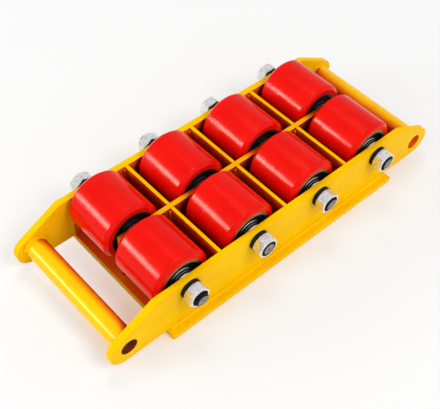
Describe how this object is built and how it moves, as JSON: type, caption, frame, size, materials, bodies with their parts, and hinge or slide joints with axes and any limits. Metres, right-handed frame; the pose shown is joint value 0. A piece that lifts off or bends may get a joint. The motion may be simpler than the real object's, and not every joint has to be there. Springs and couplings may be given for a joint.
{
  "type": "machine skate",
  "caption": "Low welded steel skate with rows of cast polyurethane rollers for moving heavy machines, with a flat load plate and a tube handle at each end.",
  "frame": {"origin": "centre of the load plate's flat face, which the skate lies on with its rollers up", "axes": "+X along the skate from the rear handle to the front one, +Y along the axles to the left row, +Z away from the load face towards the rollers; in use the skate is turned over"},
  "size_m": [0.493, 0.212, 0.0955],
  "materials": {
    "frame_paint": "gloss",
    "tread": "gloss",
    "steel": "satin",
    "bearing": "satin",
    "zinc": "gloss",
    "black_steel": "matte"
  },
  "bodies": {
    "frame": {"load_plate": "frame_paint", "right_side_plate": "frame_paint", "left_side_plate": "frame_paint", "middle_plate": "frame_paint", "rear_right_cross_plate": "frame_paint", "rear_left_cross_plate": "frame_paint", "center_right_cross_plate": "frame_paint", "center_left_cross_plate": "frame_paint", "front_right_cross_plate": "frame_paint", "front_left_cross_plate": "frame_paint", "rear_handle_tube": "frame_paint", "front_handle_tube": "frame_paint", "foot_welds": "frame_paint", "corner_welds": "frame_paint", "rear_axle": "steel", "second_axle": "steel", "third_axle": "steel", "front_axle": "steel", "lock_washers": "black_steel", "axle_nuts": "zinc", "right_bearing_cartridges": "bearing", "left_bearing_cartridges": "bearing"},
    "right_roller_1": {"right_roller_1_core": "steel", "right_roller_1_tread": "tread"},
    "right_roller_2": {"right_roller_2_core": "steel", "right_roller_2_tread": "tread"},
    "right_roller_3": {"right_roller_3_core": "steel", "right_roller_3_tread": "tread"},
    "right_roller_4": {"right_roller_4_core": "steel", "right_roller_4_tread": "tread"},
    "left_roller_1": {"left_roller_1_core": "steel", "left_roller_1_tread": "tread"},
    "left_roller_2": {"left_roller_2_core": "steel", "left_roller_2_tread": "tread"},
    "left_roller_3": {"left_roller_3_core": "steel", "left_roller_3_tread": "tread"},
    "left_roller_4": {"left_roller_4_core": "steel", "left_roller_4_tread": "tread"}
  },
  "joints": [
    {"name": "right_roller_1_spin", "type": "hinge", "parent": "frame", "child": "right_roller_1", "pos_m": [-0.144, -0.04075, 0.059], "axis": [0, 1, 0], "continuous": true},
    {"name": "right_roller_2_spin", "type": "hinge", "parent": "frame", "child": "right_roller_2", "pos_m": [-0.048, -0.04075, 0.059], "axis": [0, 1, 0], "continuous": true},
    {"name": "right_roller_3_spin", "type": "hinge", "parent": "frame", "child": "right_roller_3", "pos_m": [0.048, -0.04075, 0.059], "axis": [0, 1, 0], "continuous": true},
    {"name": "right_roller_4_spin", "type": "hinge", "parent": "frame", "child": "right_roller_4", "pos_m": [0.144, -0.04075, 0.059], "axis": [0, 1, 0], "continuous": true},
    {"name": "left_roller_1_spin", "type": "hinge", "parent": "frame", "child": "left_roller_1", "pos_m": [-0.144, 0.04075, 0.059], "axis": [0, 1, 0], "continuous": true},
    {"name": "left_roller_2_spin", "type": "hinge", "parent": "frame", "child": "left_roller_2", "pos_m": [-0.048, 0.04075, 0.059], "axis": [0, 1, 0], "continuous": true},
    {"name": "left_roller_3_spin", "type": "hinge", "parent": "frame", "child": "left_roller_3", "pos_m": [0.048, 0.04075, 0.059], "axis": [0, 1, 0], "continuous": true},
    {"name": "left_roller_4_spin", "type": "hinge", "parent": "frame", "child": "left_roller_4", "pos_m": [0.144, 0.04075, 0.059], "axis": [0, 1, 0], "continuous": true}
  ]
}
